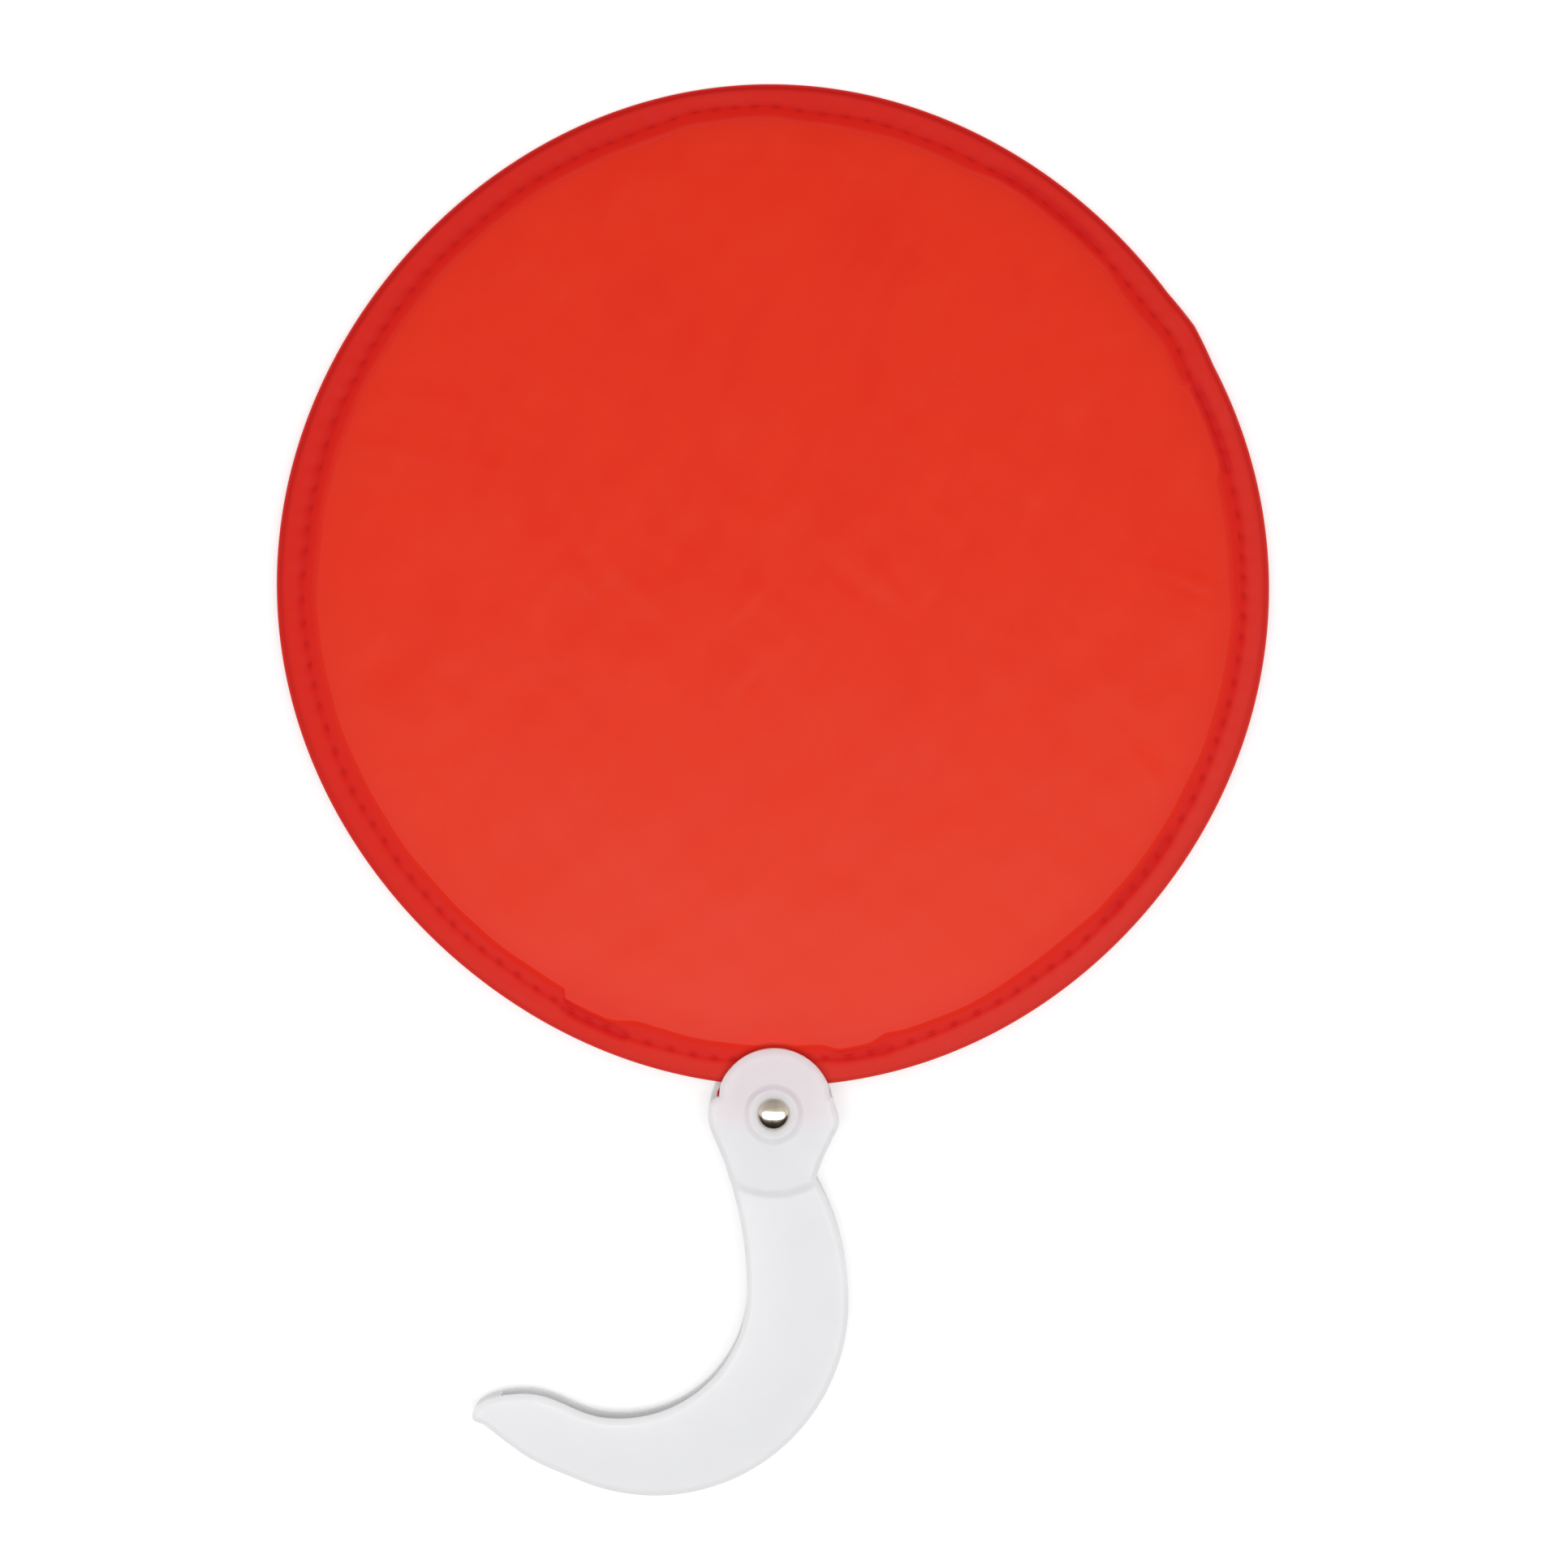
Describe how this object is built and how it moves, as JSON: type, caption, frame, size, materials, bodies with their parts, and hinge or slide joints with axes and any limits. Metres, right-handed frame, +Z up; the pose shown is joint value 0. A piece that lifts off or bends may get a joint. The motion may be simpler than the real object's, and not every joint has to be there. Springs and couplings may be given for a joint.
{
  "type": "folding hand fan",
  "caption": "Hand fan: a round fabric disc on a sprung wire hoop, riveted to a white hooked handle whose open slot wraps the disc when it is folded.",
  "frame": {"origin": "middle of the fan's outline, on the surface that it lies on", "axes": "+Z up through the disc, towards the front; +Y from the handle to the disc; +X to the right seen from the front"},
  "size_m": [0.2478, 0.3516, 0.0093],
  "materials": {
    "panel_fabric": "thin plain nylon",
    "hem_tape": "folded woven tape",
    "tab_fabric": "folded woven tape",
    "spring_wire": "drawn wire",
    "sleeve_steel": "crimped tube",
    "handle_plastic": "satin, slightly translucent",
    "rivet_metal": "polished",
    "washer_metal": "plain"
  },
  "bodies": {
    "handle": {"handle_front_shell": "handle_plastic", "handle_rear_shell": "handle_plastic", "rivet": "rivet_metal", "rivet_washer": "washer_metal"},
    "disc": {"fabric_panel": "panel_fabric", "hem_binding": "hem_tape", "hoop_wire": "spring_wire", "hoop_sleeve": "sleeve_steel", "hem_tab": "tab_fabric"}
  },
  "joints": [
    {"name": "disc_swing", "type": "hinge", "parent": "handle", "child": "disc", "pos_m": [0.00015, -0.08124, 0.0041], "axis": [0, 0, 1], "range_deg": [-70, 70]}
  ]
}
